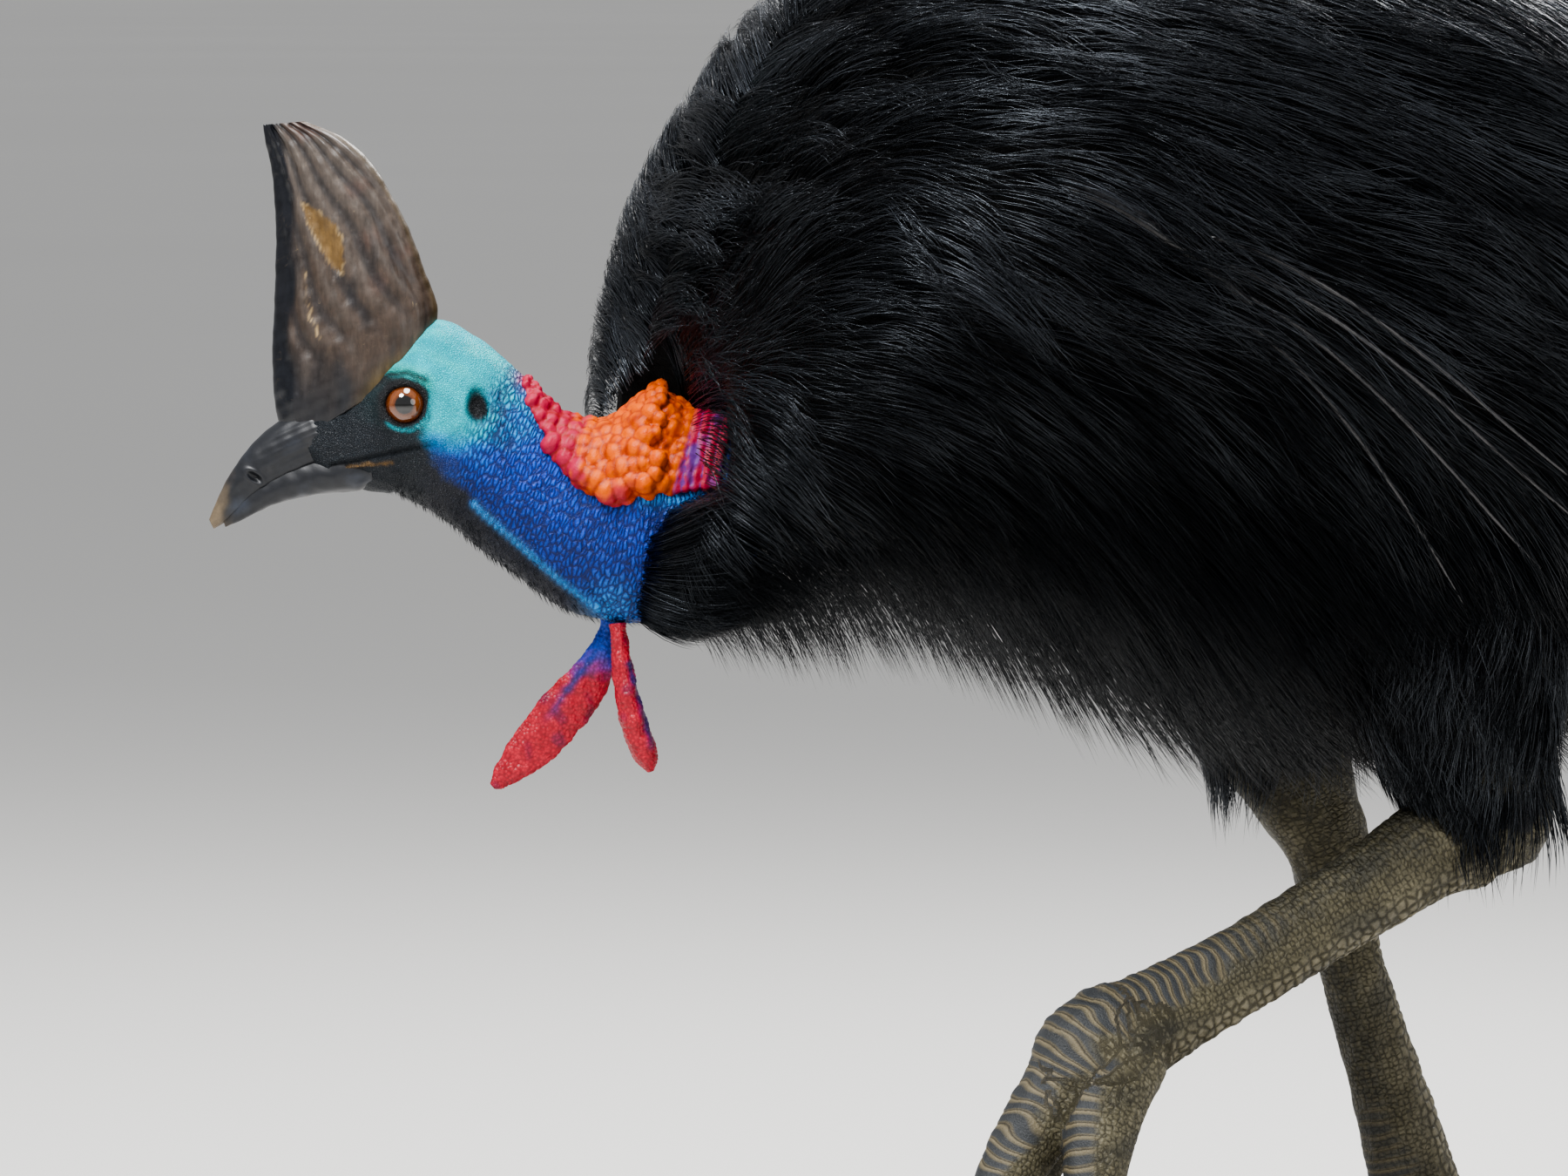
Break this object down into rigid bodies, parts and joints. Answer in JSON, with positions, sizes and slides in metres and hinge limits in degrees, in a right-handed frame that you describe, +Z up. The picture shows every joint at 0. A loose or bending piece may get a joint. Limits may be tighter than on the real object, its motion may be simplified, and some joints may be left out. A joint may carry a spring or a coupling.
{
  "type": "cassowary",
  "caption": "Life-size still model of a southern cassowary in a slow stride, head low, one foot lifted, on a low flat base.",
  "frame": {"origin": "centre of the underside of the model's box, on the floor", "axes": "+Z up, -X the way the bird walks, -Y the bird's left"},
  "size_m": [1.1158, 0.497, 0.9773],
  "materials": {
    "plumage": "glossy black hair-like feathers",
    "casque": "brown-grey horn, worn and scratched",
    "bill": "smooth dark horn",
    "face": "bare turquoise skin",
    "neck": "bare cobalt-blue skin in fine wrinkles",
    "caruncle": "orange bulbs of bare skin",
    "wattle": "red granular bare skin",
    "eye": "wet brown eye",
    "quill": "bare black quills",
    "leg": "olive-grey scaly skin",
    "claw": "dark horn claws",
    "base": "dark stained display base"
  },
  "bodies": {
    "root": {"torso": "plumage", "rump": "plumage", "thigh_left": "plumage", "thigh_right": "plumage", "neck": "neck", "head": "face", "casque": "casque", "bill_upper": "bill", "bill_lower": "bill", "eye_left": "eye", "eye_right": "eye", "caruncle_nape": "caruncle", "wattle_left": "wattle", "wattle_right": "wattle", "wing_left": "quill", "wing_right": "quill", "shank_left": "leg", "shank_right": "leg", "tarsus_left": "leg", "tarsus_right": "leg", "foot_left": "leg", "foot_right": "leg", "stand_base": "base", "claw_inner_left": "claw", "claw_middle_left": "claw", "claw_outer_left": "claw", "claw_inner_right": "claw", "claw_middle_right": "claw", "claw_outer_right": "claw"}
  },
  "joints": []
}
